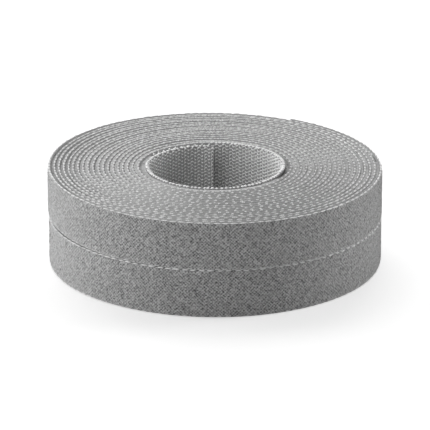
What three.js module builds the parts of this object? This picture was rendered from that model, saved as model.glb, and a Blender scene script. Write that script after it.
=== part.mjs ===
// Two like rolls of double-sided hook and loop tape, stacked on one axis.
// Each roll is one strip wound on itself with no core. Its hooks face the bore and its loops face out,
// so every turn grips the turn under it.
// Millimetres, +Z up. The origin is on the rolls' axis, on the surface that the lower roll stands on.
import * as THREE from "three";

// The strip
const TAPE_WIDTH = 16;
const TAPE_THICKNESS = 1.1;
const TAPE_GREY = 0x8e8e8e;
const TAPE_ROUGHNESS = 0.95;

// The winding, seen from above: it grows counter-clockwise from its inner end to its outer end
const FULL_TURNS = 20;
const TURN_GAP = 0.49; // held open between turns by the hooks and the pile
const START_RADIUS = 22.6; // middle of the strip at its inner end, were it wound tight
const INNER_SLACK = 1.6; // how far the loose inner end springs in from that
const SLACK_TURNS = 2.3; // turns over which that slack dies out
const INNER_END_ANGLE = THREE.MathUtils.degToRad(92);
const OUTER_END_ANGLE = THREE.MathUtils.degToRad(61);
const STEPS_PER_TURN = 24;
const SPOKE_MARGIN = 0.02; // in steps

// The free ends, cut into short links so that they can peel
const TAIL_LINKS = 4;
const TAIL_LINK_LENGTH = 10.5;
const INNER_LINKS = 2;
const INNER_LINK_LENGTH = 9;
const LINK_STEPS = 3;
const LINK_GAP = 0.3;

// The stack
const ROLL_GAP = 0.3; // the soft selvedges keep the rolls this far apart
const LOWER_ROLL_ANGLE = THREE.MathUtils.degToRad(45); // the lower roll is turned under the upper one

const FULL_CIRCLE = 2 * Math.PI;
const TURN_PITCH = TAPE_THICKNESS + TURN_GAP;
const OUTER_END = FULL_TURNS + (OUTER_END_ANGLE - INNER_END_ANGLE) / FULL_CIRCLE;

// A place on the strip is given in turns from its inner end.
function middleRadius(turns) {
  const loose = Math.max(0, 1 - turns / SLACK_TURNS);
  return START_RADIUS + TURN_PITCH * turns - INNER_SLACK * loose ** 2;
}

function planPoint(turns, offset) {
  const angle = INNER_END_ANGLE + FULL_CIRCLE * turns;
  const radius = middleRadius(turns) + offset;
  return new THREE.Vector2(radius * Math.cos(angle), radius * Math.sin(angle));
}

const loopFacePoint = (turns) => planPoint(turns, TAPE_THICKNESS / 2);
const hookFacePoint = (turns) => planPoint(turns, -TAPE_THICKNESS / 2);

// A length along the strip, near a place on it, in turns.
const inTurns = (length, place) => length / (FULL_CIRCLE * middleRadius(place));

const TAIL_LINK_TURNS = inTurns(TAIL_LINK_LENGTH, OUTER_END);
const TAIL_ROOT = OUTER_END - TAIL_LINKS * TAIL_LINK_TURNS;
const INNER_LINK_TURNS = inTurns(INNER_LINK_LENGTH, 0);
const INNER_ROOT = INNER_LINKS * INNER_LINK_TURNS;

// Places from first to last in equal steps.
function evenPlaces(first, last, steps) {
  return Array.from({ length: steps + 1 }, (_, i) => first + ((last - first) * i) / steps);
}

// Places from first to last on spokes that every turn shares, so that each turn clears the one under it.
// A spoke that lies very near either end is left out.
function spokePlaces(first, last) {
  const startSpoke = (INNER_END_ANGLE / FULL_CIRCLE) * STEPS_PER_TURN;
  const nearest = SPOKE_MARGIN + startSpoke + first * STEPS_PER_TURN;
  const farthest = startSpoke + last * STEPS_PER_TURN - SPOKE_MARGIN;
  const places = [first];
  for (let spoke = Math.ceil(nearest); spoke < farthest; spoke += 1) {
    places.push((spoke - startSpoke) / STEPS_PER_TURN);
  }
  places.push(last);
  return places;
}

// The strip seen from above: out along its loop face and back along its hook face, raised by its width.
function stripGeometry(places) {
  const outline = [...places.map(loopFacePoint), ...places.map(hookFacePoint).reverse()];
  return new THREE.ExtrudeGeometry(new THREE.Shape(outline), { depth: TAPE_WIDTH, bevelEnabled: false });
}

function tapeMesh(name, geometry) {
  const material = new THREE.MeshStandardMaterial({
    color: TAPE_GREY,
    roughness: TAPE_ROUGHNESS,
    metalness: 0,
  });
  const mesh = new THREE.Mesh(geometry, material);
  mesh.name = name;
  return mesh;
}

// Where the winding starts and stops, half a gap short of the first links.
const WINDING_PLACES = spokePlaces(
  INNER_ROOT + inTurns(LINK_GAP / 2, INNER_ROOT),
  TAIL_ROOT - inTurns(LINK_GAP / 2, TAIL_ROOT),
);

// One link of a free end between two places. A tip has no gap on its free side.
function linkGeometry(first, last) {
  const start = first > 0 ? first + inTurns(LINK_GAP / 2, first) : first;
  const end = last < OUTER_END ? last - inTurns(LINK_GAP / 2, last) : last;
  return stripGeometry(evenPlaces(start, end, LINK_STEPS));
}

function makeRoll(rollName) {
  const roll = new THREE.Group();
  roll.add(tapeMesh(`${rollName}_roll_winding`, stripGeometry(WINDING_PLACES)));
  for (let i = 0; i < TAIL_LINKS; i += 1) {
    const first = TAIL_ROOT + i * TAIL_LINK_TURNS;
    const last = i === TAIL_LINKS - 1 ? OUTER_END : first + TAIL_LINK_TURNS;
    roll.add(tapeMesh(`${rollName}_tail_link_${i + 1}`, linkGeometry(first, last)));
  }
  for (let i = 0; i < INNER_LINKS; i += 1) {
    const last = INNER_ROOT - i * INNER_LINK_TURNS;
    const first = i === INNER_LINKS - 1 ? 0 : last - INNER_LINK_TURNS;
    roll.add(tapeMesh(`${rollName}_inner_end_${i + 1}`, linkGeometry(first, last)));
  }
  return roll;
}

// The least gap between turns: points along the hook face against the loop face of the turn under it.
function leastTurnGap(places) {
  const loopFace = places.map(loopFacePoint);
  const hookFace = places.map(hookFacePoint);
  const samplesPerStep = 6;
  const line = new THREE.Line3();
  const point = new THREE.Vector3();
  const nearest = new THREE.Vector3();
  let least = Infinity;
  for (let i = STEPS_PER_TURN / 2; i < hookFace.length - 1; i += 1) {
    for (let s = 0; s < samplesPerStep; s += 1) {
      const sample = hookFace[i].clone().lerp(hookFace[i + 1], s / samplesPerStep);
      point.set(sample.x, sample.y, 0);
      for (let j = 0; j < i - STEPS_PER_TURN / 2; j += 1) {
        line.start.set(loopFace[j].x, loopFace[j].y, 0);
        line.end.set(loopFace[j + 1].x, loopFace[j + 1].y, 0);
        line.closestPointToPoint(point, true, nearest);
        least = Math.min(least, nearest.distanceTo(point));
      }
    }
  }
  return least;
}

// A tail link turns out about its loop face, and an inner end turns in about its hook face.
function printHinges(rollName, rollAngle) {
  const show = (name, point) => {
    const turned = point.clone().rotateAround(new THREE.Vector2(), rollAngle);
    console.log(`hinge of ${rollName}_${name}: x ${turned.x.toFixed(4)}, y ${turned.y.toFixed(4)} mm`);
  };
  for (let i = 0; i < TAIL_LINKS; i += 1) {
    show(`tail_link_${i + 1}`, loopFacePoint(TAIL_ROOT + i * TAIL_LINK_TURNS));
  }
  for (let i = 0; i < INNER_LINKS; i += 1) {
    show(`inner_end_${i + 1}`, hookFacePoint(INNER_ROOT - i * INNER_LINK_TURNS));
  }
}

const lowerRoll = makeRoll("lower");
lowerRoll.rotation.z = LOWER_ROLL_ANGLE;

const upperRoll = makeRoll("upper");
upperRoll.position.z = TAPE_WIDTH + ROLL_GAP;

const stack = new THREE.Group();
stack.add(lowerRoll, upperRoll);

console.log(`least gap between turns: ${leastTurnGap(WINDING_PLACES).toFixed(3)} mm`);
printHinges("lower", LOWER_ROLL_ANGLE);
printHinges("upper", 0);

export default stack;
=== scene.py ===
# %% [markdown]
# # Two rolls of hook and loop tape
#
# The object is a stack of two rolls of grey tape. Each roll is one strip, wound on itself with no core.
# The strip has rows of hooks on the face towards the bore, soft loops on its outer face, and a pale woven
# selvedge along both edges, which shows as rows of bright dots on the ends of the rolls.
#
# A winding could be drawn as twenty rings, or as a block with a picture of rings on it. Here every layer
# of the tape is modelled flat, in real sizes, and one function then winds it up, as a machine does. The
# layers stay together in every turn that way, and a free end can peel without leaving a hole behind it.

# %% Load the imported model
import math

import bmesh
import bpy
import numpy as np
from mathutils import Matrix, Vector, noise


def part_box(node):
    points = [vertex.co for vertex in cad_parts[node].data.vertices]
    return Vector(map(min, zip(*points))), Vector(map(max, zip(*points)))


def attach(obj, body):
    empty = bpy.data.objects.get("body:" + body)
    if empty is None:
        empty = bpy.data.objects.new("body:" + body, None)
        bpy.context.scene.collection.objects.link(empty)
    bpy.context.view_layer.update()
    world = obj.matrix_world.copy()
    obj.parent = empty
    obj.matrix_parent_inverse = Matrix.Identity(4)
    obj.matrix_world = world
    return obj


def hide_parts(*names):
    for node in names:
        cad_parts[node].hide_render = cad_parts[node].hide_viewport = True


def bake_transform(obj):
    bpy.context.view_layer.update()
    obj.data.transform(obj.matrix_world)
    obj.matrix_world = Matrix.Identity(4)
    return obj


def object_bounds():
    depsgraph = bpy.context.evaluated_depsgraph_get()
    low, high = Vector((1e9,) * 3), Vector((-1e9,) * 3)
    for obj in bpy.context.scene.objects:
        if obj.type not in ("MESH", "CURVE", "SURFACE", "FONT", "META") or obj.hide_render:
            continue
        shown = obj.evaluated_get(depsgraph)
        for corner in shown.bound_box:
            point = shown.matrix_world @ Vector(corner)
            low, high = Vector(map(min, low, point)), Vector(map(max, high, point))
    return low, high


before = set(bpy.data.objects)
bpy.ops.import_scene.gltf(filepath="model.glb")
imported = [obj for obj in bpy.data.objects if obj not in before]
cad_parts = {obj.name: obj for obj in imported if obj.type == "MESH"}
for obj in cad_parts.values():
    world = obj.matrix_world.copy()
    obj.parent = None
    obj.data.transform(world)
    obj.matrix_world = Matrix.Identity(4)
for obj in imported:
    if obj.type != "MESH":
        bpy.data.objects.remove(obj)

MM = 0.001
scene = bpy.context.scene
cad_low, cad_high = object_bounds()
print("CAD box in mm:", [round(side / MM, 1) for side in cad_high - cad_low])

# %% [markdown]
# ## The camera
#
# The photograph looks down on the rolls by 20 degrees. The ellipses of the upper rim, the seam and the base
# have almost the same shape, which means a long lens far away: nearer, the base would look rounder than the
# rim. So the camera stands 1.5 m off, and the lens is chosen for the size of the rolls in the frame.

# %% Camera
CAMERA_DISTANCE = 1.5
CAMERA_HEIGHT_ANGLE = math.radians(20.2)
PIXELS_PER_METRE = 3073.0  # of the rolls in the photograph, at the middle of the stack
IMAGE_PIXELS = 430
STACK_MIDDLE_PIXEL = (213.2, 211.0)  # of the middle of the seam between the rolls, in the photograph
SENSOR_WIDTH = 36  # in mm, as the lens is

stack_middle = Vector((0, 0, (cad_low.z + cad_high.z) / 2))
camera_right = Vector((1, 0, 0))
camera_up = Vector((0, math.sin(CAMERA_HEIGHT_ANGLE), math.cos(CAMERA_HEIGHT_ANGLE)))
camera_back = Vector((0, -math.cos(CAMERA_HEIGHT_ANGLE), math.sin(CAMERA_HEIGHT_ANGLE)))
right_of_middle = (IMAGE_PIXELS / 2 - STACK_MIDDLE_PIXEL[0]) / PIXELS_PER_METRE
below_middle = (IMAGE_PIXELS / 2 - STACK_MIDDLE_PIXEL[1]) / PIXELS_PER_METRE

camera_data = bpy.data.cameras.new("camera")
camera_data.sensor_width = SENSOR_WIDTH
camera_data.lens = SENSOR_WIDTH * CAMERA_DISTANCE * PIXELS_PER_METRE / IMAGE_PIXELS
camera = bpy.data.objects.new("camera", camera_data)
camera.location = stack_middle + camera_back * CAMERA_DISTANCE
camera.location += camera_right * right_of_middle - camera_up * below_middle
camera.rotation_euler = (math.pi / 2 - CAMERA_HEIGHT_ANGLE, 0, 0)
scene.collection.objects.link(camera)
scene.camera = camera
print("lens in mm:", round(camera_data.lens, 1))

# %% [markdown]
# ## The winding
#
# Seen from above, a roll is a spiral: the radius grows by one pitch in each turn, and only the first turns
# are looser, because nothing holds the inner end out. The same formula makes the CAD strip. A table of
# length against turns then gives the place on the roll of any length along the flat tape.

# %% Spiral
TURN_PITCH = 1.59 * MM
START_RADIUS = 22.6 * MM
INNER_SLACK = 1.6 * MM
SLACK_TURNS = 2.3
INNER_END_ANGLE = math.radians(92)
OUTER_END_ANGLE = math.radians(61)
FULL_TURNS = 20
OUTER_END_TURNS = FULL_TURNS + (OUTER_END_ANGLE - INNER_END_ANGLE) / math.tau
TABLE_MARGIN = 0.2  # in turns, past both ends
TABLE_PLACES = 20001


def middle_radius(turns):
    loose = np.maximum(0, 1 - turns / SLACK_TURNS)
    return START_RADIUS + TURN_PITCH * turns - INNER_SLACK * loose**2


table_turns = np.linspace(-TABLE_MARGIN, OUTER_END_TURNS + TABLE_MARGIN, TABLE_PLACES)
table_radius = middle_radius(table_turns)
table_steps = np.diff(table_turns) * math.tau * (table_radius[1:] + table_radius[:-1]) / 2
table_length = np.concatenate([[0], np.cumsum(table_steps)])
table_length -= np.interp(0, table_turns, table_length)


def length_at(turns):
    return float(np.interp(turns, table_turns, table_length))


TAPE_LENGTH = length_at(OUTER_END_TURNS)
print("tape in each roll, m:", round(TAPE_LENGTH, 3))

# %% [markdown]
# ## Winding a flat piece
#
# A flat piece lies with X along the tape from its inner end, Y across it and Z out through the loop face.
# Winding turns X into an angle, Y into height and Z into radius, so faces that point out of the flat tape
# also point out of the roll.
#
# A real roll isn't perfect. Its turns wander a little in and out and up and down: slow waves do that, the
# same ones for every layer, so the layers never come apart. The first turns stand further in at one side of
# the bore, which is the back in the upper roll. The inner tip curls in, and the innermost turn stands a
# little proud. The upper roll is slightly oval, and the lower one stands a little to the right, as the
# outlines in the photograph show. What would go through the surface below is flattened there, as a soft
# edge is under weight.

# %% Wind
LOWER_ROLL_ANGLE = math.radians(45)
LOWER_ROLL_SHIFT = 0.35 * MM
UPPER_ROLL_OVAL = 0.9 * MM
LOOSE_DEPTH = 1.5 * MM
LOOSE_TURNS = 4
TIP_CURL = 1.2 * MM
TIP_CURL_LENGTH = 8 * MM
INNER_TURN_RISE = 0.3  # in mm, like the waves
RISE_END = 1.6  # in turns
RISE_RAMP = 0.8

lower_low, lower_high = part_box("lower_roll_winding")
TAPE_WIDTH = lower_high.z - lower_low.z
rolls = {
    "lower": {"floor": lower_low.z, "angle": LOWER_ROLL_ANGLE, "oval": 0.0, "shift": LOWER_ROLL_SHIFT},
    "upper": {"floor": lower_high.z, "angle": 0.0, "oval": UPPER_ROLL_OVAL, "shift": 0.0},
}


def wind(flat, roll):
    turns = np.interp(flat[:, 0], table_length, table_turns)
    angle = INNER_END_ANGLE + math.tau * turns
    sway = 0.10 * np.sin(3 * angle + 0.35 * turns) + 0.07 * np.sin(5 * angle - 0.6 * turns)
    sway += 0.05 * np.sin(1.9 * turns)
    rise = 0.06 * np.sin(2.3 * turns + 1) + 0.05 * np.sin(2 * angle + 0.7 * turns)
    rise += INNER_TURN_RISE * np.clip((RISE_END - turns) / RISE_RAMP, 0, 1)
    height = roll["floor"] + np.maximum(0, flat[:, 1] + rise * MM)
    loose = LOOSE_DEPTH * np.clip(1 - turns / LOOSE_TURNS, 0, 1) * np.maximum(0, np.sin(angle))
    angle = angle + roll["angle"]
    oval = -roll["oval"] * np.sin(2 * angle) * (turns / OUTER_END_TURNS) ** 2
    curl = TIP_CURL * np.clip(1 - flat[:, 0] / TIP_CURL_LENGTH, 0, 1) ** 2
    radius = middle_radius(turns) + flat[:, 2] + sway * MM + oval - loose - curl
    return np.column_stack([radius * np.cos(angle) + roll["shift"], radius * np.sin(angle), height])


print("tape width in mm:", round(TAPE_WIDTH / MM, 2))

# %% [markdown]
# ## Colours and nodes
#
# Colours are written as sRGB hex values, as a colour picker shows them, and one function turns them into
# the linear values that Blender works with. One more function adds a node: an input that is given a socket
# is linked to it, and any other input is set.

# %% Helpers for materials
WAVE_UNIT = math.tau / 20  # a wave texture of scale 1 repeats after this length


def linear(hex_colour):
    channels = [int(hex_colour[i : i + 2], 16) / 255 for i in (1, 3, 5)]
    return tuple(c / 12.92 if c <= 0.04045 else ((c + 0.055) / 1.055) ** 2.4 for c in channels) + (1.0,)


def add_node(tree, kind, inputs=None, **settings):
    node = tree.nodes.new(kind)
    for name, value in settings.items():
        setattr(node, name, value)
    for name, value in (inputs or {}).items():
        if isinstance(value, bpy.types.NodeSocket):
            tree.links.new(value, node.inputs[name])
        else:
            node.inputs[name].default_value = value
    return node


def new_material(name):
    material = bpy.data.materials.new(name)
    material.use_nodes = True
    material.node_tree.nodes.clear()
    return material, material.node_tree


print("white is", linear("#ffffff")[:3])

# %% [markdown]
# ## Brushed nylon loop pile
#
# The loop face is knitted nylon that was brushed until its loops stood up as a soft felt. Fine fibres catch
# light at a glancing angle, so the roll is palest along its edges: that is sheen, not gloss. The knit shows
# through as a lattice, light where its rows and columns agree, and noise breaks it up into tufts. Real tufts
# are about half a millimetre wide. Here tufts and knit are drawn almost half as coarse again, because finer
# ones vanish in the render. Broader, fainter patches show where the pile lies differently.

# %% Pile material
TUFT_SIZE = 0.72 * MM
KNIT_REPEAT = 1.08 * MM
KNIT_WEIGHT = 0.18
PATCH_SIZE = 5.0 * MM

pile_material, tree = new_material("brushed_nylon_loop_pile")
place = add_node(tree, "ShaderNodeTexCoord").outputs["Object"]
flat_place = add_node(tree, "ShaderNodeAttribute", attribute_name="flat_place").outputs["Vector"]
tufts = add_node(tree, "ShaderNodeTexNoise", {
    "Vector": place, "Scale": 1 / TUFT_SIZE, "Detail": 4.0, "Roughness": 0.75})
patches = add_node(tree, "ShaderNodeTexNoise", {
    "Vector": place, "Scale": 1 / PATCH_SIZE, "Detail": 2.0, "Roughness": 0.5})
courses = add_node(tree, "ShaderNodeTexWave", {
    "Vector": flat_place, "Scale": WAVE_UNIT / KNIT_REPEAT, "Distortion": 1.5}, bands_direction="X")
wales = add_node(tree, "ShaderNodeTexWave", {
    "Vector": flat_place, "Scale": WAVE_UNIT / KNIT_REPEAT, "Distortion": 1.5}, bands_direction="Y")
both = add_node(tree, "ShaderNodeMath", {0: courses.outputs["Fac"], 1: wales.outputs["Fac"]},
                operation="MULTIPLY")
either = add_node(tree, "ShaderNodeMath", {0: courses.outputs["Fac"], 1: wales.outputs["Fac"]},
                  operation="ADD")
both_or_none = add_node(tree, "ShaderNodeMath", {0: both.outputs["Value"], 1: 2.0, 2: 1.0},
                        operation="MULTIPLY_ADD")
knit = add_node(tree, "ShaderNodeMath", {0: both_or_none.outputs["Value"], 1: either.outputs["Value"]},
                operation="SUBTRACT")
tufted_knit = add_node(tree, "ShaderNodeMath", {
    0: knit.outputs["Value"], 1: KNIT_WEIGHT, 2: tufts.outputs["Fac"]}, operation="MULTIPLY_ADD")
tuft_tone = add_node(tree, "ShaderNodeMapRange", {
    "Value": tufted_knit.outputs["Value"], "From Min": 0.42, "From Max": 0.72})
patch_fade = add_node(tree, "ShaderNodeMapRange", {
    "Value": patches.outputs["Fac"], "From Min": 0.4, "From Max": 0.75, "To Max": 0.3})
pile_grey = add_node(tree, "ShaderNodeMix", {
    "Factor": tuft_tone.outputs["Result"], "A": linear("#343434"), "B": linear("#d0d0d0")},
    data_type="RGBA")
pile_colour = add_node(tree, "ShaderNodeMix", {
    "Factor": patch_fade.outputs["Result"], "A": pile_grey.outputs["Result"], "B": linear("#959595")},
    data_type="RGBA")
pile_rough = add_node(tree, "ShaderNodeMapRange", {
    "Value": tufts.outputs["Fac"], "To Min": 0.8, "To Max": 1.0})
pile_bump = add_node(tree, "ShaderNodeBump", {
    "Height": tufted_knit.outputs["Value"], "Strength": 0.8, "Distance": 0.3 * MM})
shader = add_node(tree, "ShaderNodeBsdfPrincipled", {
    "Base Color": pile_colour.outputs["Result"], "Roughness": pile_rough.outputs["Result"],
    "Normal": pile_bump.outputs["Normal"], "IOR": 1.53, "Specular IOR Level": 0.2,
    "Sheen Weight": 1.0, "Sheen Roughness": 0.5})
add_node(tree, "ShaderNodeOutputMaterial", {"Surface": shader.outputs["BSDF"]})
print("material:", pile_material.name)

# %% [markdown]
# ## Woven nylon backing and selvedge
#
# The backing between hooks and loops is a close plain weave. It only shows between the hooks and along the
# ends of the rolls, and its threads are drawn twice as wide as they are, to show at all. Its bare edge is
# dark near the hook face and paler near the pile, beside a pale border of the hook face that has no hooks.
# That is painted light and shade: the walls of the edge, which lie in shade between the turns, are painted
# pale, and its lit top near the hook face is painted dark. On the innermost turn the edge is an even grey,
# without it.
#
# At the edge the weft turns round and goes back, and each turn stands out as a pale, tightly twisted loop.
# Round the bore and towards the right of the seam it is paler still: painted light, for the light it catches
# there.

# %% Backing material
THREAD_SPACING = 0.5 * MM
PLAIN_EDGE = 0.7 * MM  # without hooks
EDGE_FADE = 0.3 * MM

backing_material, tree = new_material("woven_nylon_backing")
flat_place = add_node(tree, "ShaderNodeAttribute", attribute_name="flat_place").outputs["Vector"]
warp = add_node(tree, "ShaderNodeTexWave", {
    "Vector": flat_place, "Scale": WAVE_UNIT / THREAD_SPACING, "Distortion": 0.6}, bands_direction="X")
weft = add_node(tree, "ShaderNodeTexWave", {
    "Vector": flat_place, "Scale": WAVE_UNIT / THREAD_SPACING, "Distortion": 0.6}, bands_direction="Y")
weave = add_node(tree, "ShaderNodeMath", {0: warp.outputs["Fac"], 1: weft.outputs["Fac"]},
                 operation="MULTIPLY")
woven_colour = add_node(tree, "ShaderNodeMix", {
    "Factor": weave.outputs["Value"], "A": linear("#a6a6a6"), "B": linear("#d0d0d0")}, data_type="RGBA")
flat_axes = add_node(tree, "ShaderNodeSeparateXYZ", {"Vector": flat_place})
off_middle = add_node(tree, "ShaderNodeMath", {0: flat_axes.outputs["Y"], 1: TAPE_WIDTH / 2},
                      operation="SUBTRACT")
off_middle = add_node(tree, "ShaderNodeMath", {0: off_middle.outputs["Value"]}, operation="ABSOLUTE")
edge_tone = add_node(tree, "ShaderNodeMapRange", {
    "Value": off_middle.outputs["Value"], "From Min": TAPE_WIDTH / 2 - PLAIN_EDGE - EDGE_FADE,
    "From Max": TAPE_WIDTH / 2 - PLAIN_EDGE})
# The innermost turn's edge is an even grey, without the painted light and shade of the other turns.
innermost_turn = add_node(tree, "ShaderNodeMapRange", {
    "Value": flat_axes.outputs["X"], "From Min": length_at(0.95), "From Max": length_at(1.05),
    "To Min": 1.0, "To Max": 0.0})
# Across the backing, flat Z runs from -0.45 mm on the hook face to 0.25 mm under the pile.
pile_side = add_node(tree, "ShaderNodeMapRange", {
    "Value": flat_axes.outputs["Z"], "From Min": -0.35 * MM, "From Max": 0.2 * MM})
ground_colour = add_node(tree, "ShaderNodeMix", {
    "Factor": pile_side.outputs["Result"], "A": woven_colour.outputs["Result"], "B": linear("#707070")},
    data_type="RGBA")
# Painted light and shade: the edge's top is dark near the hook face and pale on the shaded wall by the pile.
edge_painted_light = add_node(tree, "ShaderNodeMix", {
    "Factor": pile_side.outputs["Result"], "A": linear("#646464"), "B": linear("#b8b8b8")},
    data_type="RGBA")
# Painted light: the shaded wall on the hook side is made pale.
hook_wall = add_node(tree, "ShaderNodeMapRange", {
    "Value": flat_axes.outputs["Z"], "From Min": -0.3 * MM, "From Max": -0.44 * MM})
edge_painted_light = add_node(tree, "ShaderNodeMix", {
    "Factor": hook_wall.outputs["Result"], "A": edge_painted_light.outputs["Result"], "B": linear("#b0b0b0")},
    data_type="RGBA")
edge_colour = add_node(tree, "ShaderNodeMix", {
    "Factor": innermost_turn.outputs["Result"], "A": edge_painted_light.outputs["Result"], "B": linear("#909090")},
    data_type="RGBA")
backing_colour = add_node(tree, "ShaderNodeMix", {
    "Factor": edge_tone.outputs["Result"], "A": ground_colour.outputs["Result"],
    "B": edge_colour.outputs["Result"]}, data_type="RGBA")
backing_bump = add_node(tree, "ShaderNodeBump", {
    "Height": weave.outputs["Value"], "Strength": 0.5, "Distance": 0.1 * MM})
backing_rough = add_node(tree, "ShaderNodeMapRange", {
    "Value": weave.outputs["Value"], "To Min": 0.9, "To Max": 0.75})
shader = add_node(tree, "ShaderNodeBsdfPrincipled", {
    "Base Color": backing_colour.outputs["Result"], "Roughness": backing_rough.outputs["Result"],
    "Normal": backing_bump.outputs["Normal"], "IOR": 1.53, "Specular IOR Level": 0.3})
add_node(tree, "ShaderNodeOutputMaterial", {"Surface": shader.outputs["BSDF"]})
print("material:", backing_material.name)

# %% Selvedge material
FILAMENT_SPACING = 0.3 * MM
YARN_PATCH = 3.0 * MM

selvedge_material, tree = new_material("twisted_nylon_selvedge_yarn")
flat_place = add_node(tree, "ShaderNodeAttribute", attribute_name="flat_place").outputs["Vector"]
twist = add_node(tree, "ShaderNodeTexWave", {
    "Vector": flat_place, "Scale": WAVE_UNIT / FILAMENT_SPACING, "Distortion": 1.0},
    bands_direction="DIAGONAL")
yarn_patch = add_node(tree, "ShaderNodeTexNoise", {
    "Vector": flat_place, "Scale": 1 / YARN_PATCH, "Detail": 2.0})
yarn_tone = add_node(tree, "ShaderNodeMapRange", {
    "Value": yarn_patch.outputs["Fac"], "From Min": 0.3, "From Max": 0.7})
yarn_grey = add_node(tree, "ShaderNodeMix", {
    "Factor": yarn_tone.outputs["Result"], "A": linear("#dadada"), "B": linear("#f8f8f8")},
    data_type="RGBA")
yarn_colour = add_node(tree, "ShaderNodeMix", {
    "Factor": twist.outputs["Fac"], "A": linear("#d0d0d0"), "B": yarn_grey.outputs["Result"]},
    data_type="RGBA")
# Painted light: the beads round the bore and towards the right of the seam are made paler, as if lit more.
painted_highlight = add_node(tree, "ShaderNodeAttribute", attribute_name="painted_highlight")
yarn_colour = add_node(tree, "ShaderNodeMix", {
    "Factor": painted_highlight.outputs["Fac"], "A": yarn_colour.outputs["Result"], "B": linear("#f6f6f6")},
    data_type="RGBA")
yarn_rough = add_node(tree, "ShaderNodeMapRange", {
    "Value": twist.outputs["Fac"], "To Min": 0.75, "To Max": 0.55})
yarn_bump = add_node(tree, "ShaderNodeBump", {
    "Height": twist.outputs["Fac"], "Strength": 0.4, "Distance": 0.08 * MM})
shader = add_node(tree, "ShaderNodeBsdfPrincipled", {
    "Base Color": yarn_colour.outputs["Result"], "Roughness": yarn_rough.outputs["Result"],
    "Normal": yarn_bump.outputs["Normal"], "IOR": 1.53, "Specular IOR Level": 0.4,
    "Sheen Weight": 0.2, "Sheen Roughness": 0.4})
add_node(tree, "ShaderNodeOutputMaterial", {"Surface": shader.outputs["BSDF"]})
print("material:", selvedge_material.name)

# %% [markdown]
# ## Nylon hooks
#
# The hooks are cut from a nylon monofilament that was woven in and set with heat. A monofilament is smooth,
# so the hooks have a soft gloss that the rest of the tape lacks, and they look like rows of small lights.

# %% Hook material
HOOK_PATCH = 1.2 * MM

hook_material, tree = new_material("nylon_hook_monofilament")
place = add_node(tree, "ShaderNodeTexCoord").outputs["Object"]
hook_patch = add_node(tree, "ShaderNodeTexNoise", {"Vector": place, "Scale": 1 / HOOK_PATCH, "Detail": 2.0})
hook_colour = add_node(tree, "ShaderNodeMix", {
    "Factor": hook_patch.outputs["Fac"], "A": linear("#ececec"), "B": linear("#ffffff")}, data_type="RGBA")
hook_rough = add_node(tree, "ShaderNodeMapRange", {
    "Value": hook_patch.outputs["Fac"], "To Min": 0.35, "To Max": 0.5})
shader = add_node(tree, "ShaderNodeBsdfPrincipled", {
    "Base Color": hook_colour.outputs["Result"], "Roughness": hook_rough.outputs["Result"], "IOR": 1.53})
add_node(tree, "ShaderNodeOutputMaterial", {"Surface": shader.outputs["BSDF"]})
print("material:", hook_material.name)

# %% [markdown]
# ## From flat layers to a piece
#
# A piece of tape is made of one or more flat layers, each with its own material. They are joined, the flat
# place of each point is kept as an attribute for the woven patterns, and the points are then wound. Edges
# that are sharper than 55 degrees stay sharp, so that a cut end doesn't shade as if it were round.

# %% Joining and winding layers


def coordinates(mesh):
    places = np.empty(3 * len(mesh.vertices))
    mesh.vertices.foreach_get("co", places)
    return places.reshape(-1, 3)


def to_mesh(bm, name):
    mesh = bpy.data.meshes.new(name)
    bm.to_mesh(mesh)
    bm.free()
    return mesh


def wound_piece(name, layers, roll):
    bm = bmesh.new()
    for slot, (layer, material) in enumerate(layers):
        layer.polygons.foreach_set("material_index", [slot] * len(layer.polygons))
        bm.from_mesh(layer)
        bpy.data.meshes.remove(layer)
    mesh = to_mesh(bm, name)
    flat = coordinates(mesh)
    kept = mesh.attributes.new("flat_place", "FLOAT_VECTOR", "POINT")
    kept.data.foreach_set("vector", flat.ravel())
    mesh.vertices.foreach_set("co", wind(flat, roll).ravel())
    mesh.shade_smooth()
    mesh.set_sharp_from_angle(angle=math.radians(55))
    for _, material in layers:
        mesh.materials.append(material)
    piece = bpy.data.objects.new(name, mesh)
    scene.collection.objects.link(piece)
    triangles = sum(len(polygon.vertices) - 2 for polygon in mesh.polygons)
    print(f"{name}: {triangles} triangles")
    return piece


# %% [markdown]
# ## A strip
#
# A strip is a grid, pulled to length and width and given a thickness. Its long edges can be rounded with a
# bevel. The backing is such a strip, only 0.7 mm thick and a little narrower than the tape, because the
# selvedge stands round its edges.

# %% Strips
BACKING_UNDER = -0.45 * MM
BACKING_OVER = 0.25 * MM
BACKING_MARGIN = 0.28 * MM
BACKING_STEP = 2.2 * MM
BACKING_BEVEL = 0.2 * MM
HAIR = 1e-7  # in metres, less than any real distance here


def flat_strip(first, last, low, high, under, over, step, rows):
    bm = bmesh.new()
    columns = max(2, round((last - first) / step))
    bmesh.ops.create_grid(bm, x_segments=columns, y_segments=rows, size=0.5)
    bmesh.ops.scale(bm, vec=(last - first, high - low, 1), verts=bm.verts)
    bmesh.ops.translate(bm, vec=((first + last) / 2, (low + high) / 2, over), verts=bm.verts)
    bmesh.ops.solidify(bm, geom=bm.faces[:], thickness=over - under)
    return bm


def runs_along_an_edge(edge, low, high):
    ends = [vert.co.y for vert in edge.verts]
    on_low = max(ends) < low + HAIR
    on_high = min(ends) > high - HAIR
    return (on_low or on_high) and abs(edge.verts[0].co.x - edge.verts[1].co.x) > HAIR


def backing_layer(first, last):
    low = BACKING_MARGIN
    high = TAPE_WIDTH - BACKING_MARGIN
    bm = flat_strip(first, last, low, high, BACKING_UNDER, BACKING_OVER, BACKING_STEP, rows=1)
    long_edges = [edge for edge in bm.edges if runs_along_an_edge(edge, low, high)]
    bmesh.ops.bevel(bm, geom=long_edges, offset=BACKING_BEVEL, offset_type="OFFSET", affect="EDGES",
                    segments=2, profile=0.5, material=-1)
    return to_mesh(bm, "backing"), backing_material


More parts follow.
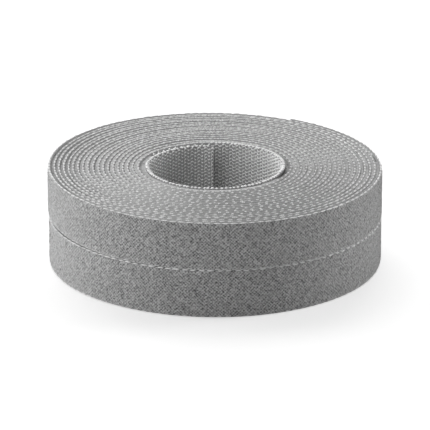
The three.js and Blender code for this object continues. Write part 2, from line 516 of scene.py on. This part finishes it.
# %% [markdown]
# ## The pile
#
# Between the turns the pile is pressed flat, and only its ragged edge shows, a little below the edges of the
# tape. It lies deeper where the turns are looser: in the first gap round the bore, most of all at its right,
# and in the outer turns at the left front. It also lies a little deeper at the front than at the back.
#
# On the outermost turn the whole pile shows: there the strip has a point every half millimetre, and noise
# lifts and lowers them as brushed tufts. It thins out towards the edges of the tape, and where another turn
# lies on it, it rises to fill the gap.

# %% Pile layers
PRESSED_MARGIN = 0.54 * MM
PRESSED_STEP = 0.6 * MM
RAGGED_EDGE = 0.15 * MM
RAGGED_ALONG = 0.9 * MM
RAGGED_ACROSS = 3 * MM
BORE_GAP_RIGHT = 1.6 * MM
BORE_GAP_LEFT = 0.5 * MM
OUTER_GAP = 0.5 * MM
OUTER_GAP_START = 11  # in turns
OUTER_GAP_RAMP = 4
FRONT_GAP = 0.15 * MM
LEFT_FRONT = math.radians(225)
FRONT = math.radians(290)
TURN_GAP = 0.04 * MM

OPEN_PILE_TOP = 0.55 * MM
PILE_LOW_MARGIN = 0.05 * MM
PILE_HIGH_MARGIN = 0.35 * MM
PILE_STEP = 0.55 * MM
PILE_ROWS = 34
TUFT_HEIGHT = 0.18 * MM
TUFT_SPACING = 0.7 * MM
FINE_TUFT_SPACING = 0.35 * MM
FINE_TUFT_SHARE = 0.6
THIN_EDGE = 0.9 * MM
THINNING = 0.8
COVERED_RISE = 0.35 * MM
COVERED_RAMP = 2.5 * MM

# Noise vectors start from the clock unless they are seeded, and each run should make the same edge.
NOISE_SEED = 1
noise.seed_set(NOISE_SEED)


def pressed_pile_layer(first, last):
    low = PRESSED_MARGIN
    high = TAPE_WIDTH - PRESSED_MARGIN
    bm = flat_strip(first, last, low, high, BACKING_OVER, OPEN_PILE_TOP, PRESSED_STEP, rows=1)
    for vert in bm.verts:
        turns = np.interp(vert.co.x, table_length, table_turns)
        angle = INNER_END_ANGLE + math.tau * turns
        ragged = noise.noise_vector(Vector((vert.co.x / RAGGED_ALONG, vert.co.y / RAGGED_ACROSS, 0.5)))
        vert.co.y += RAGGED_EDGE * ragged.y
        if vert.co.y > TAPE_WIDTH / 2:
            to_right = math.cos(angle)
            bore_gap = BORE_GAP_RIGHT * max(0.0, to_right) ** 10
            bore_gap += BORE_GAP_LEFT * max(0.0, -to_right) ** 2
            # The first gap ends a quarter of a turn past the first turn.
            near_bore = min(1.0, max(0.0, 5 - 4 * turns))
            near_rim = min(1.0, max(0.0, (turns - OUTER_GAP_START) / OUTER_GAP_RAMP))
            vert.co.y -= FRONT_GAP * math.cos(angle - FRONT)
            vert.co.y -= bore_gap * near_bore
            vert.co.y -= OUTER_GAP * near_rim * max(0.0, math.cos(angle - LEFT_FRONT))
        if vert.co.z > BACKING_OVER + HAIR:
            to_next_turn = float(middle_radius(turns + 1) - middle_radius(turns))
            vert.co.z = to_next_turn + BACKING_UNDER - TURN_GAP * (1 + ragged.z)
    return to_mesh(bm, "pressed_pile"), pile_material


def open_pile_layer(first, last):
    low = PILE_LOW_MARGIN
    high = TAPE_WIDTH - PILE_HIGH_MARGIN
    bm = flat_strip(first, last, low, high, BACKING_OVER, OPEN_PILE_TOP, PILE_STEP, PILE_ROWS)
    tail_tip_below = length_at(OUTER_END_TURNS - 1)
    for vert in bm.verts:
        if vert.co.z < OPEN_PILE_TOP - HAIR:
            continue
        covered = min(1.0, max(0.0, (tail_tip_below - vert.co.x) / COVERED_RAMP))
        to_edge = min(vert.co.y - low, high - vert.co.y) / THIN_EDGE
        thin = 1 - THINNING * max(0.0, 1 - to_edge) ** 2
        tuft = noise.noise(Vector((vert.co.x, vert.co.y, 0)) / TUFT_SPACING)
        tuft += FINE_TUFT_SHARE * noise.noise(Vector((vert.co.x, vert.co.y, 1)) / FINE_TUFT_SPACING)
        vert.co.z = BACKING_OVER + (OPEN_PILE_TOP - BACKING_OVER) * thin + TUFT_HEIGHT * tuft * thin
        vert.co.z += COVERED_RISE * covered * thin
    return to_mesh(bm, "open_pile"), pile_material


# %% [markdown]
# ## Repeating a small shape
#
# Selvedge loops, pile loops and hooks are small shapes that come in thousands. One is modelled, and copying
# everything made so far doubles it each time, so eleven rounds already give two thousand. Each copy is
# numbered, so that a seeded random row can move, turn and scale it a little by itself afterwards.

# %% Copies


def repeat(bm, count, step):
    number = bm.verts.layers.int.get("copy") or bm.verts.layers.int.new("copy")
    unit = 1 + max(vert[number] for vert in bm.verts)
    made = 1
    while made < count:
        more = min(made, count - made)
        chosen = [face for face in bm.faces if face.verts[0][number] < more * unit]
        copied = bmesh.ops.duplicate(bm, geom=chosen)["geom"]
        new_verts = [item for item in copied if isinstance(item, bmesh.types.BMVert)]
        bmesh.ops.translate(bm, verts=new_verts, vec=Vector(step) * made)
        for vert in new_verts:
            vert[number] += made * unit
        made += more


def loosen(mesh, seed, shift, turn, sizes, axis):
    number = np.empty(len(mesh.vertices), int)
    mesh.attributes["copy"].data.foreach_get("value", number)
    places = coordinates(mesh)
    count = number.max() + 1
    share = np.maximum(1, np.bincount(number, minlength=count))
    middles = np.column_stack([np.bincount(number, places[:, i], count) / share for i in range(3)])
    random = np.random.default_rng(seed)
    moves = random.uniform(-1, 1, (count, 3)) * np.array(shift)
    angles = random.uniform(-1, 1, count) * turn
    scales = random.uniform(*sizes, count)
    local = (places - middles[number]) * scales[number, None]
    first, second = [i for i in range(3) if i != axis]
    cosine, sine = np.cos(angles)[number], np.sin(angles)[number]
    turned = local.copy()
    turned[:, first] = cosine * local[:, first] - sine * local[:, second]
    turned[:, second] = sine * local[:, first] + cosine * local[:, second]
    mesh.vertices.foreach_set("co", (turned + (middles + moves)[number]).ravel())
    mesh.attributes.remove(mesh.attributes["copy"])


def row_of_places(first, last, pitch):
    start = math.ceil(first / pitch - 0.5)
    end = math.ceil(last / pitch - 0.5)
    return (start + 0.5) * pitch, end - start


# %% [markdown]
# ## The selvedge
#
# Each turn of the weft at the edge is a short thick loop of yarn that looks like a bead, longer than it is
# wide and a little aslant. A sphere with few faces, stretched to that shape, is enough at this size. There
# is one every 2.75 mm along both edges of the tape, as counted along the front rim in the photograph.
#
# The beads aren't all alike. Nothing presses on the innermost turn, so its beads bulge, and they show twice
# as often. On the outer turns they are drawn out into dashes, most of all on the outermost one. At the seam
# the upper roll presses the outermost beads of the lower one into a thin line at the left, and towards the
# right they grow into dots.

# %% Selvedge layer
SELVEDGE_PITCH = 2.75 * MM
SELVEDGE_LENGTH = 1.05 * MM
SELVEDGE_THICKNESS = 0.7 * MM
SELVEDGE_HEIGHT = 0.65 * MM
SELVEDGE_SLANT = math.radians(12)
SELVEDGE_DEPTH = 0.03 * MM
DASH_TURNS = 5

# Sizes against a plain bead, and where it moves to
BORE_BEAD = Vector((1.0, 1.0, 1.45))
BORE_BEAD_SHIFT = Vector((0, 0, -0.12)) * MM
DASH = Vector((1.85, 0.9, 0.85))
RIM_DASH = Vector((2.25, 0.55, 1.0))
RIM_DASH_SHIFT = Vector((0, 0, 0.25)) * MM
SEAM_LINE = Vector((2.9, 0.35, 1.15))
SEAM_LINE_SHIFT = Vector((0, 0.08, 0.34)) * MM
SEAM_DOT = Vector((1.9, 1.1, 1.15))
SEAM_DOT_SHIFT = Vector((0, 0.08, 0.5)) * MM
SEAM_DOT_SIDE = math.radians(345)


def selvedge_layer(first, last, across, at_seam, seed):
    start, count = row_of_places(first, last, SELVEDGE_PITCH)
    bm = bmesh.new()
    bmesh.ops.create_uvsphere(bm, u_segments=8, v_segments=4, radius=0.5)
    bmesh.ops.scale(bm, vec=(SELVEDGE_LENGTH, SELVEDGE_HEIGHT, SELVEDGE_THICKNESS), verts=bm.verts)
    bmesh.ops.rotate(bm, cent=(0, 0, 0), verts=bm.verts, matrix=Matrix.Rotation(SELVEDGE_SLANT, 3, "Y"))
    bmesh.ops.translate(bm, vec=(start, across, -SELVEDGE_DEPTH), verts=bm.verts)
    repeat(bm, count, (SELVEDGE_PITCH, 0, 0))
    half_pitch = SELVEDGE_PITCH / 2
    in_bore = [face for face in bm.faces if face.calc_center_median().x < length_at(1)]
    between = bmesh.ops.duplicate(bm, geom=in_bore)["geom"]
    new_verts = [item for item in between if isinstance(item, bmesh.types.BMVert)]
    bmesh.ops.translate(bm, verts=new_verts, vec=(half_pitch, 0, 0))
    number = bm.verts.layers.int["copy"]
    for vert in new_verts:
        vert[number] += count
    # The beads round the bore and towards the right of the seam are marked here to be painted paler: painted
    # light.
    painted_highlight = bm.verts.layers.float.new("painted_highlight")
    for vert in bm.verts:
        middle = Vector((round(vert.co.x / half_pitch) * half_pitch, across, 0))
        local = vert.co - middle
        if middle.x < length_at(1):
            vert.co = middle + local * BORE_BEAD + BORE_BEAD_SHIFT
            vert[painted_highlight] = 1.0
        elif middle.x > length_at(OUTER_END_TURNS - 1) and at_seam:
            turns = np.interp(middle.x, table_length, table_turns)
            angle = INNER_END_ANGLE + LOWER_ROLL_ANGLE + math.tau * turns
            fullness = 0.5 + 0.5 * math.cos(angle - SEAM_DOT_SIDE)
            size = SEAM_LINE.lerp(SEAM_DOT, fullness)
            vert.co = middle + local * size + SEAM_LINE_SHIFT.lerp(SEAM_DOT_SHIFT, fullness)
            vert[painted_highlight] = fullness
        elif middle.x > length_at(OUTER_END_TURNS - 1):
            vert.co = middle + local * RIM_DASH + RIM_DASH_SHIFT
        elif middle.x > length_at(OUTER_END_TURNS - DASH_TURNS):
            vert.co = middle + local * DASH
    mesh = to_mesh(bm, "selvedge")
    loosen(mesh, seed, shift=(0.25 * MM, 0.06 * MM, 0.05 * MM), turn=math.radians(5), sizes=(0.85, 1.1),
           axis=1)
    return mesh, selvedge_material


# %% [markdown]
# ## The hooks
#
# A hook is a short stem that bends over at its tip: a small circle, pulled up and then spun round a point
# beside it. The hooks stand in columns across the tape, and every other column is shifted by half a row.
# Only the turn that faces the bore and the free ends ever show their hooks, so only these get them.

# %% Hook layer
HOOK_PITCH = 1.265 * MM
HOOK_ROW_PITCH = 1.17 * MM
HOOK_ROWS = 13
HOOK_RADIUS = 0.27 * MM
HOOK_STEM = 0.05 * MM
HOOK_BEND = 0.37 * MM
HOOK_BEND_ANGLE = math.radians(150)
HOOK_SQUEEZE = (1, 0.8, 0.9)
HOOK_ROOT = 0.05 * MM  # inside the backing


def hook_layer(first, last, seed):
    start, count = row_of_places(first, last, HOOK_PITCH)
    bm = bmesh.new()
    bmesh.ops.create_circle(bm, cap_ends=True, segments=5, radius=HOOK_RADIUS)
    raised = bmesh.ops.extrude_face_region(bm, geom=bm.faces[:])["geom"]
    stem_top = [item for item in raised if isinstance(item, bmesh.types.BMVert)]
    bmesh.ops.translate(bm, vec=(0, 0, HOOK_STEM), verts=stem_top)
    bmesh.ops.spin(bm, geom=raised, cent=(HOOK_BEND, 0, HOOK_STEM), axis=(0, 1, 0), dvec=(0, 0, 0),
                   angle=HOOK_BEND_ANGLE, steps=4, use_merge=False, use_duplicate=False)
    bmesh.ops.rotate(bm, cent=(0, 0, 0), verts=bm.verts, matrix=Matrix.Rotation(math.pi, 3, "X"))
    bmesh.ops.scale(bm, vec=HOOK_SQUEEZE, verts=bm.verts)
    lowest_row = (TAPE_WIDTH - (HOOK_ROWS - 1) * HOOK_ROW_PITCH) / 2
    bmesh.ops.translate(bm, vec=(start, lowest_row, BACKING_UNDER + HOOK_ROOT), verts=bm.verts)
    repeat(bm, HOOK_ROWS, (0, HOOK_ROW_PITCH, 0))
    repeat(bm, count, (HOOK_PITCH, 0, 0))
    for vert in bm.verts:
        column = round(vert.co.x / HOOK_PITCH - 0.5)
        vert.co.y += HOOK_ROW_PITCH * (column % 2 - 0.5) / 2
    mesh = to_mesh(bm, "hooks")
    loosen(mesh, seed, shift=(0.08 * MM, 0.05 * MM, 0.02 * MM), turn=math.radians(18), sizes=(0.9, 1.1),
           axis=2)
    return mesh, hook_material


# %% [markdown]
# ## Loops that stand out of the pile
#
# Here and there a loop of fibre stands up out of the brushed pile, and against the light these give the roll
# its fuzzy outline. Each is a thin triangle of fibre spun through half a circle. Real fibre is a twentieth
# of a millimetre thick, so these are drawn twice as thick, and fewer, to show at all.

# %% Loop layer
LOOP_PITCH = 0.9 * MM
LOOP_ROW_PITCH = 0.85 * MM
LOOP_ROWS = 17
LOOP_RADIUS = 0.3 * MM
LOOP_SQUEEZE = (1, 1, 0.7)
LOOP_ROOT = 0.05 * MM  # inside the pile
FIBRE_RADIUS = 0.05 * MM


def loop_layer(first, last, seed):
    start, count = row_of_places(first, last, LOOP_PITCH)
    bm = bmesh.new()
    bmesh.ops.create_circle(bm, cap_ends=True, segments=3, radius=FIBRE_RADIUS)
    bmesh.ops.translate(bm, vec=(-LOOP_RADIUS, 0, 0), verts=bm.verts)
    bmesh.ops.spin(bm, geom=bm.verts[:] + bm.edges[:] + bm.faces[:], cent=(0, 0, 0), axis=(0, 1, 0),
                   dvec=(0, 0, 0), angle=math.pi, steps=4, use_merge=False, use_duplicate=False)
    bmesh.ops.recalc_face_normals(bm, faces=bm.faces[:])
    bmesh.ops.scale(bm, vec=LOOP_SQUEEZE, verts=bm.verts)
    lowest_row = (TAPE_WIDTH - (LOOP_ROWS - 1) * LOOP_ROW_PITCH) / 2
    bmesh.ops.translate(bm, vec=(start, lowest_row, OPEN_PILE_TOP - LOOP_ROOT), verts=bm.verts)
    repeat(bm, LOOP_ROWS, (0, LOOP_ROW_PITCH, 0))
    repeat(bm, count, (LOOP_PITCH, 0, 0))
    mesh = to_mesh(bm, "loops")
    loosen(mesh, seed, shift=(0.4 * MM, 0.4 * MM, 0.05 * MM), turn=math.pi, sizes=(0.7, 1.3), axis=2)
    return mesh, pile_material


# %% [markdown]
# ## The turns of each roll
#
# The winding of a roll is made as seven pieces, one for each kind of layer and two for the two selvedges,
# and they ride on the roll's body. It stops half a link before each free end, because those bend. The open
# pile begins where the tail lies on the turn below, so that there is pile under the tail when it peels.

# %% Places along the tape
TAIL_LINKS = 4
TAIL_LINK_LENGTH = 10.5 * MM
INNER_LINKS = 2
INNER_LINK_LENGTH = 9 * MM
INNER_TIP = -0.7 * MM  # a little past the end of the CAD strip
SELVEDGE_MARGIN = 0.32 * MM

tail_link_turns = TAIL_LINK_LENGTH / (math.tau * float(middle_radius(OUTER_END_TURNS)))
inner_link_turns = INNER_LINK_LENGTH / (math.tau * float(middle_radius(0)))
tail_hinges = [length_at(OUTER_END_TURNS - tail_link_turns * (TAIL_LINKS - i)) for i in range(TAIL_LINKS)]
inner_hinges = [length_at(inner_link_turns * (INNER_LINKS - i)) for i in range(INNER_LINKS)]
winding_start = inner_hinges[0] + INNER_LINK_LENGTH / 2
winding_end = tail_hinges[0] - TAIL_LINK_LENGTH / 2
open_pile_start = length_at(OUTER_END_TURNS - tail_link_turns * TAIL_LINKS - 1) - TAIL_LINK_LENGTH
hooks_end = length_at(1 + inner_link_turns * INNER_LINKS) + INNER_LINK_LENGTH / 2
LOW_EDGE = SELVEDGE_MARGIN
HIGH_EDGE = TAPE_WIDTH - SELVEDGE_MARGIN
print("winding from", round(winding_start, 4), "to", round(winding_end, 4), "m along the tape")

# %% Windings
for seed, (roll_name, roll) in enumerate(rolls.items()):
    at_seam = roll_name == "lower"
    winding_layers = {
        "backing": backing_layer(winding_start, winding_end),
        "pressed_pile": pressed_pile_layer(winding_start, open_pile_start),
        "open_pile": open_pile_layer(open_pile_start, winding_end),
        "pile_loops": loop_layer(open_pile_start, winding_end, seed),
        "selvedge_top": selvedge_layer(winding_start, winding_end, HIGH_EDGE, at_seam, 10 + seed),
        "selvedge_bottom": selvedge_layer(winding_start, winding_end, LOW_EDGE, False, 20 + seed),
        "hooks": hook_layer(winding_start, hooks_end, 30 + seed),
    }
    for layer_name, layer in winding_layers.items():
        piece = wound_piece(f"{roll_name}_{layer_name}", [layer], roll)
        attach(piece, f"{roll_name}_roll")
        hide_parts(f"{roll_name}_roll_winding")

# %% [markdown]
# ## The free ends
#
# The ends of the tape peel along a row of hinges, but tape bends smoothly. So each piece of a free end runs
# from the middle of one link to the middle of the next, over one hinge. The tip rides on the last body.
# These pieces hold all the layers of the tape, since every side of them shows.

# %% Pieces of the free ends


def all_layers(first, last, roll_name, seed):
    return [
        backing_layer(first, last),
        open_pile_layer(first, last),
        loop_layer(first, last, seed),
        selvedge_layer(first, last, HIGH_EDGE, roll_name == "lower", seed + 1),
        selvedge_layer(first, last, LOW_EDGE, False, seed + 2),
        hook_layer(first, last, seed + 3),
    ]


def place_on_tape(length, out, roll):
    return Vector(wind(np.array([[length, TAPE_WIDTH / 2, out]]), roll)[0])


def free_end(roll_name, kind, node, hinges, link_length, tip, out, seed):
    roll = rolls[roll_name]
    way = 1 if tip > hinges[0] else -1
    bodies = [f"{roll_name}_roll"] + [f"{roll_name}_{kind}_{i + 1}" for i in range(len(hinges))]
    middles = [(one + other) / 2 for one, other in zip(hinges, hinges[1:])]
    bounds = [hinges[0] - way * link_length / 2, *middles, hinges[-1] + way * link_length / 2]
    for i, hinge in enumerate(hinges):
        span = sorted([bounds[i], bounds[i + 1]])
        layers = all_layers(*span, roll_name, seed + 10 * i)
        piece = wound_piece(f"{roll_name}_{kind}_bend_{i + 1}", layers, roll)
        start = place_on_tape(hinge - way * 0.5 * link_length, out, roll)
        end = place_on_tape(hinge + way * 0.5 * link_length, out, roll)
        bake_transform(piece)
        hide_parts(f"{roll_name}_{node}_{i + 1}")
    span = sorted([bounds[-1], tip])
    layers = all_layers(*span, roll_name, seed + 90)
    piece = wound_piece(f"{roll_name}_{kind}_tip", layers, roll)
    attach(piece, bodies[-1])
    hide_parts(f"{roll_name}_{node}_{len(hinges)}")


# %% Free ends
for seed, roll_name in enumerate(rolls):
    free_end(roll_name, "tail", "tail_link", tail_hinges, TAIL_LINK_LENGTH, TAPE_LENGTH, BACKING_OVER,
             100 + 1000 * seed)
    free_end(roll_name, "inner", "inner_end", inner_hinges, INNER_LINK_LENGTH, INNER_TIP, BACKING_UNDER,
             500 + 1000 * seed)

# %% [markdown]
# ## Floor and light
#
# The photograph has a pure white ground with a soft, pale shadow. The floor is a matt white sheet, and what
# the camera sees of it is lifted by a glow of its own, so that it is white where nothing shades it and still
# keeps the shadow. The glow doesn't light the rolls.

# %% Floor
FLOOR_SIZE = 4
FLOOR_GLOW = 0.49

bm = bmesh.new()
bmesh.ops.create_grid(bm, x_segments=1, y_segments=1, size=FLOOR_SIZE)
floor = bpy.data.objects.new("floor", to_mesh(bm, "floor"))
scene.collection.objects.link(floor)

floor_material, tree = new_material("matt_white_floor")
path = add_node(tree, "ShaderNodeLightPath")
seen = add_node(tree, "ShaderNodeMath", {
    0: path.outputs["Is Camera Ray"], 1: path.outputs["Is Glossy Ray"]}, operation="ADD")
seen = add_node(tree, "ShaderNodeMath", {
    0: seen.outputs["Value"], 1: path.outputs["Is Transmission Ray"]}, operation="ADD", use_clamp=True)
matt = add_node(tree, "ShaderNodeBsdfDiffuse", {"Color": linear("#f4f4f4")})
glow = add_node(tree, "ShaderNodeEmission", {"Color": linear("#ffffff"), "Strength": FLOOR_GLOW})
lifted = add_node(tree, "ShaderNodeAddShader", {0: matt.outputs["BSDF"], 1: glow.outputs["Emission"]})
mixed = add_node(tree, "ShaderNodeMixShader", {
    0: seen.outputs["Value"], 1: matt.outputs["BSDF"], 2: lifted.outputs["Shader"]})
add_node(tree, "ShaderNodeOutputMaterial", {"Surface": mixed.outputs["Shader"]})
floor.data.materials.append(floor_material)
print("floor:", floor_material.name)

# %% [markdown]
# The rolls stand in a pale room that is brighter on the left. The camera sees it as plain white.

# %% World
ROOM_LEFT = 0.52
ROOM_RIGHT = 0.1

scene.view_settings.view_transform = "Standard"
world = bpy.data.worlds.new("pale_room")
scene.world = world
world.use_nodes = True
tree = world.node_tree
tree.nodes.clear()
path = add_node(tree, "ShaderNodeLightPath")
seen = add_node(tree, "ShaderNodeMath", {
    0: path.outputs["Is Camera Ray"], 1: path.outputs["Is Glossy Ray"]}, operation="ADD")
seen = add_node(tree, "ShaderNodeMath", {
    0: seen.outputs["Value"], 1: path.outputs["Is Transmission Ray"]}, operation="ADD", use_clamp=True)
way = add_node(tree, "ShaderNodeTexCoord").outputs["Generated"]
to_right = add_node(tree, "ShaderNodeSeparateXYZ", {"Vector": way}).outputs["X"]
room_light = add_node(tree, "ShaderNodeMapRange", {
    "Value": to_right, "From Min": -1.0, "From Max": 1.0, "To Min": ROOM_LEFT, "To Max": ROOM_RIGHT})
room = add_node(tree, "ShaderNodeBackground", {
    "Color": linear("#ffffff"), "Strength": room_light.outputs["Result"]})
white = add_node(tree, "ShaderNodeBackground", {"Color": linear("#ffffff"), "Strength": 1.0})
mixed = add_node(tree, "ShaderNodeMixShader", {
    0: seen.outputs["Value"], 1: room.outputs["Background"], 2: white.outputs["Background"]})
add_node(tree, "ShaderNodeOutputWorld", {"Surface": mixed.outputs["Shader"]})
print("world:", world.name)

# %% [markdown]
# Four large soft boxes light the rolls, from the left, the right, behind and above left. The one behind
# throws the shadow to the front. The one above left reaches into the bore. It doesn't light the floor, since
# it would throw a second shadow there. The side that faces the camera is the darkest, as in the photograph,
# because no lamp stands there.

# %% Lamps
all_but_floor = bpy.data.collections.new("all_but_floor")
all_but_floor.objects.link(floor)
all_but_floor.collection_objects[0].light_linking.link_state = "EXCLUDE"

lamps = {
    "soft_box_left": {"at": (-1.5, 0.45, 0.34), "size": 0.6, "power": 6.0},
    "soft_box_right": {"at": (1.5, 0.4, 0.34), "size": 0.6, "power": 11.0},
    "soft_box_behind": {"at": (-0.16, 1.0, 1.2), "size": 1.2, "power": 9.6},
    "soft_box_above_left": {"at": (-1.04, -0.25, 1.0), "size": 1.6, "power": 12.8},
}
for lamp_name, lamp in lamps.items():
    light = bpy.data.lights.new(lamp_name, "AREA")
    light.shape = "SQUARE"
    light.size = lamp["size"]
    light.energy = lamp["power"]
    light_object = bpy.data.objects.new(lamp_name, light)
    light_object.location = lamp["at"]
    aim = stack_middle - Vector(lamp["at"])
    light_object.rotation_euler = aim.to_track_quat("-Z", "Y").to_euler()
    scene.collection.objects.link(light_object)
    if lamp_name == "soft_box_above_left":
        light_object.light_linking.receiver_collection = all_but_floor
print("lamps:", ", ".join(lamps))
